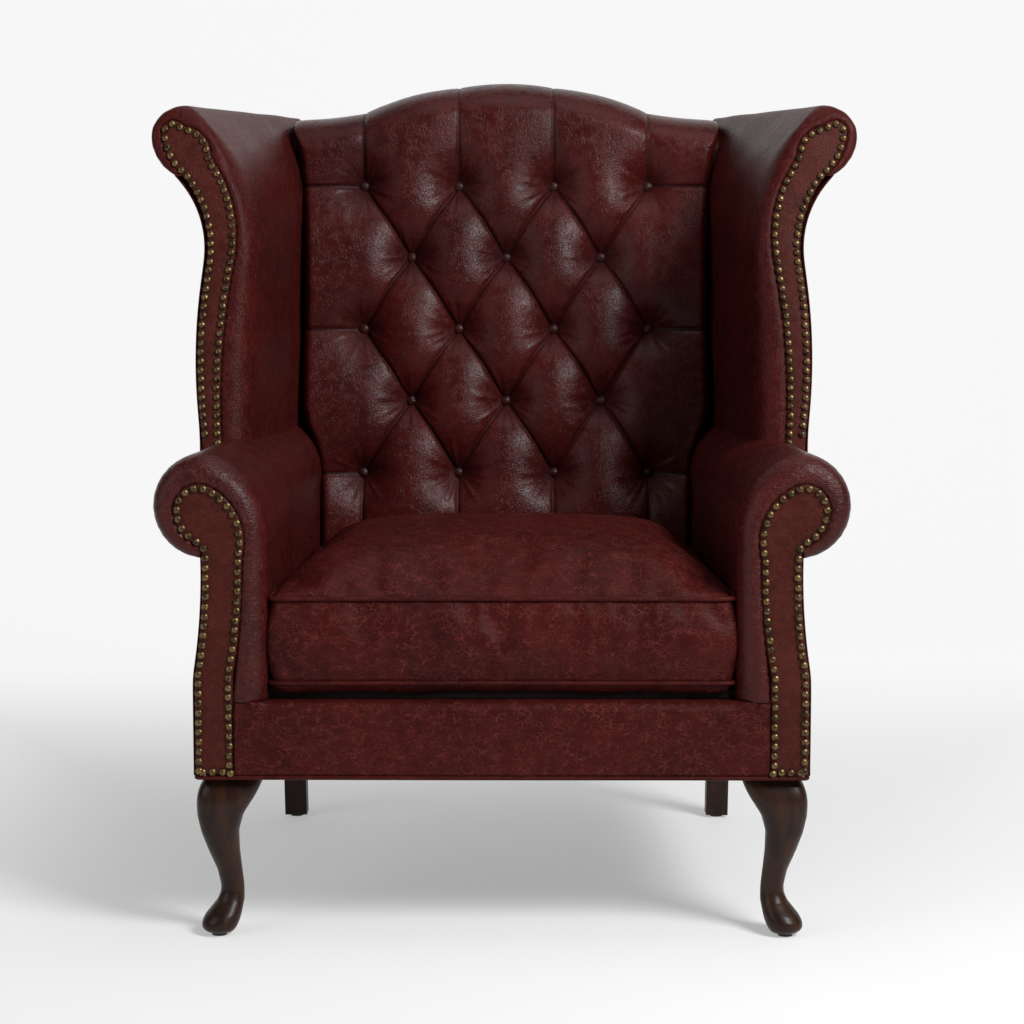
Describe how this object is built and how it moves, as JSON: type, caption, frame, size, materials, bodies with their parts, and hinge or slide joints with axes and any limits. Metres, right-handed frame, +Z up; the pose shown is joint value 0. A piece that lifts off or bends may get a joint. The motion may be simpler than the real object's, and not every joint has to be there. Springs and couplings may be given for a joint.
{
  "type": "wingback armchair",
  "caption": "Wingback armchair with scroll arms, flared wings, deep-buttoned back, loose piped seat cushion, nail-edged facings and cabriole front legs.",
  "frame": {"origin": "middle of the chair's footprint box, on the floor", "axes": "+Z up, -Y out of the front of the seat, +X to the right as seen from the front"},
  "size_m": [0.915, 0.798, 1.0778],
  "materials": {
    "leather": "antiqued oxblood hide, satin, fine paler crackle",
    "mahogany": "dark mahogany stain, satin polish",
    "stained_upright": "dark mahogany stain, satin polish",
    "frame_wood": "plain beech, unfinished",
    "stuffing": "layered stuffing under calico",
    "cushion_core": "foam core in a soft wrap",
    "webbing": "woven jute webbing",
    "hessian": "plain woven hessian",
    "deck_cloth": "dark platform cloth",
    "dust_cloth": "thin black dust cloth",
    "steel": "plain zinc-plated steel",
    "glide": "dark nylon glide",
    "brass": "antique brass, darkened in the hollows"
  },
  "bodies": {
    "chair": {"back_buttons": "leather", "back_cover": "leather", "back_pad": "stuffing", "back_webbing": "webbing", "base_piping": "leather", "corner_blocks": "frame_wood", "crest_rail": "frame_wood", "deck_cover": "deck_cloth", "deck_pad": "stuffing", "dust_cover": "dust_cloth", "foot_glides": "glide", "front_border": "leather", "front_edge_pad": "stuffing", "front_seat_rail": "frame_wood", "left_arm_cover": "leather", "left_arm_facing": "leather", "left_arm_pad": "stuffing", "left_arm_post": "frame_wood", "left_arm_rail": "frame_wood", "left_back_upright": "stained_upright", "left_front_leg": "mahogany", "left_outside_arm": "leather", "left_outside_wing": "leather", "left_side_seat_rail": "frame_wood", "left_wing_cover": "leather", "left_wing_facing": "leather", "left_wing_pad": "stuffing", "left_wing_post": "frame_wood", "left_wing_rail": "frame_wood", "leg_bolts": "steel", "lower_back_rail": "frame_wood", "outside_back": "leather", "rear_seat_rail": "frame_wood", "right_arm_cover": "leather", "right_arm_facing": "leather", "right_arm_pad": "stuffing", "right_arm_post": "frame_wood", "right_arm_rail": "frame_wood", "right_back_upright": "stained_upright", "right_front_leg": "mahogany", "right_outside_arm": "leather", "right_outside_wing": "leather", "right_side_seat_rail": "frame_wood", "right_wing_cover": "leather", "right_wing_facing": "leather", "right_wing_pad": "stuffing", "right_wing_post": "frame_wood", "right_wing_rail": "frame_wood", "seat_hessian": "hessian", "seat_webbing_cross": "webbing", "seat_webbing_long": "webbing"},
    "cushion": {"cushion_core": "cushion_core", "cushion_cover": "leather", "cushion_piping_bottom": "leather", "cushion_piping_top": "leather", "cushion_zip": "brass"}
  },
  "joints": [
    {"name": "cushion_lift", "type": "slide", "parent": "chair", "child": "cushion", "axis": [0, 0, 1], "range_m": [0, 0.3]}
  ]
}
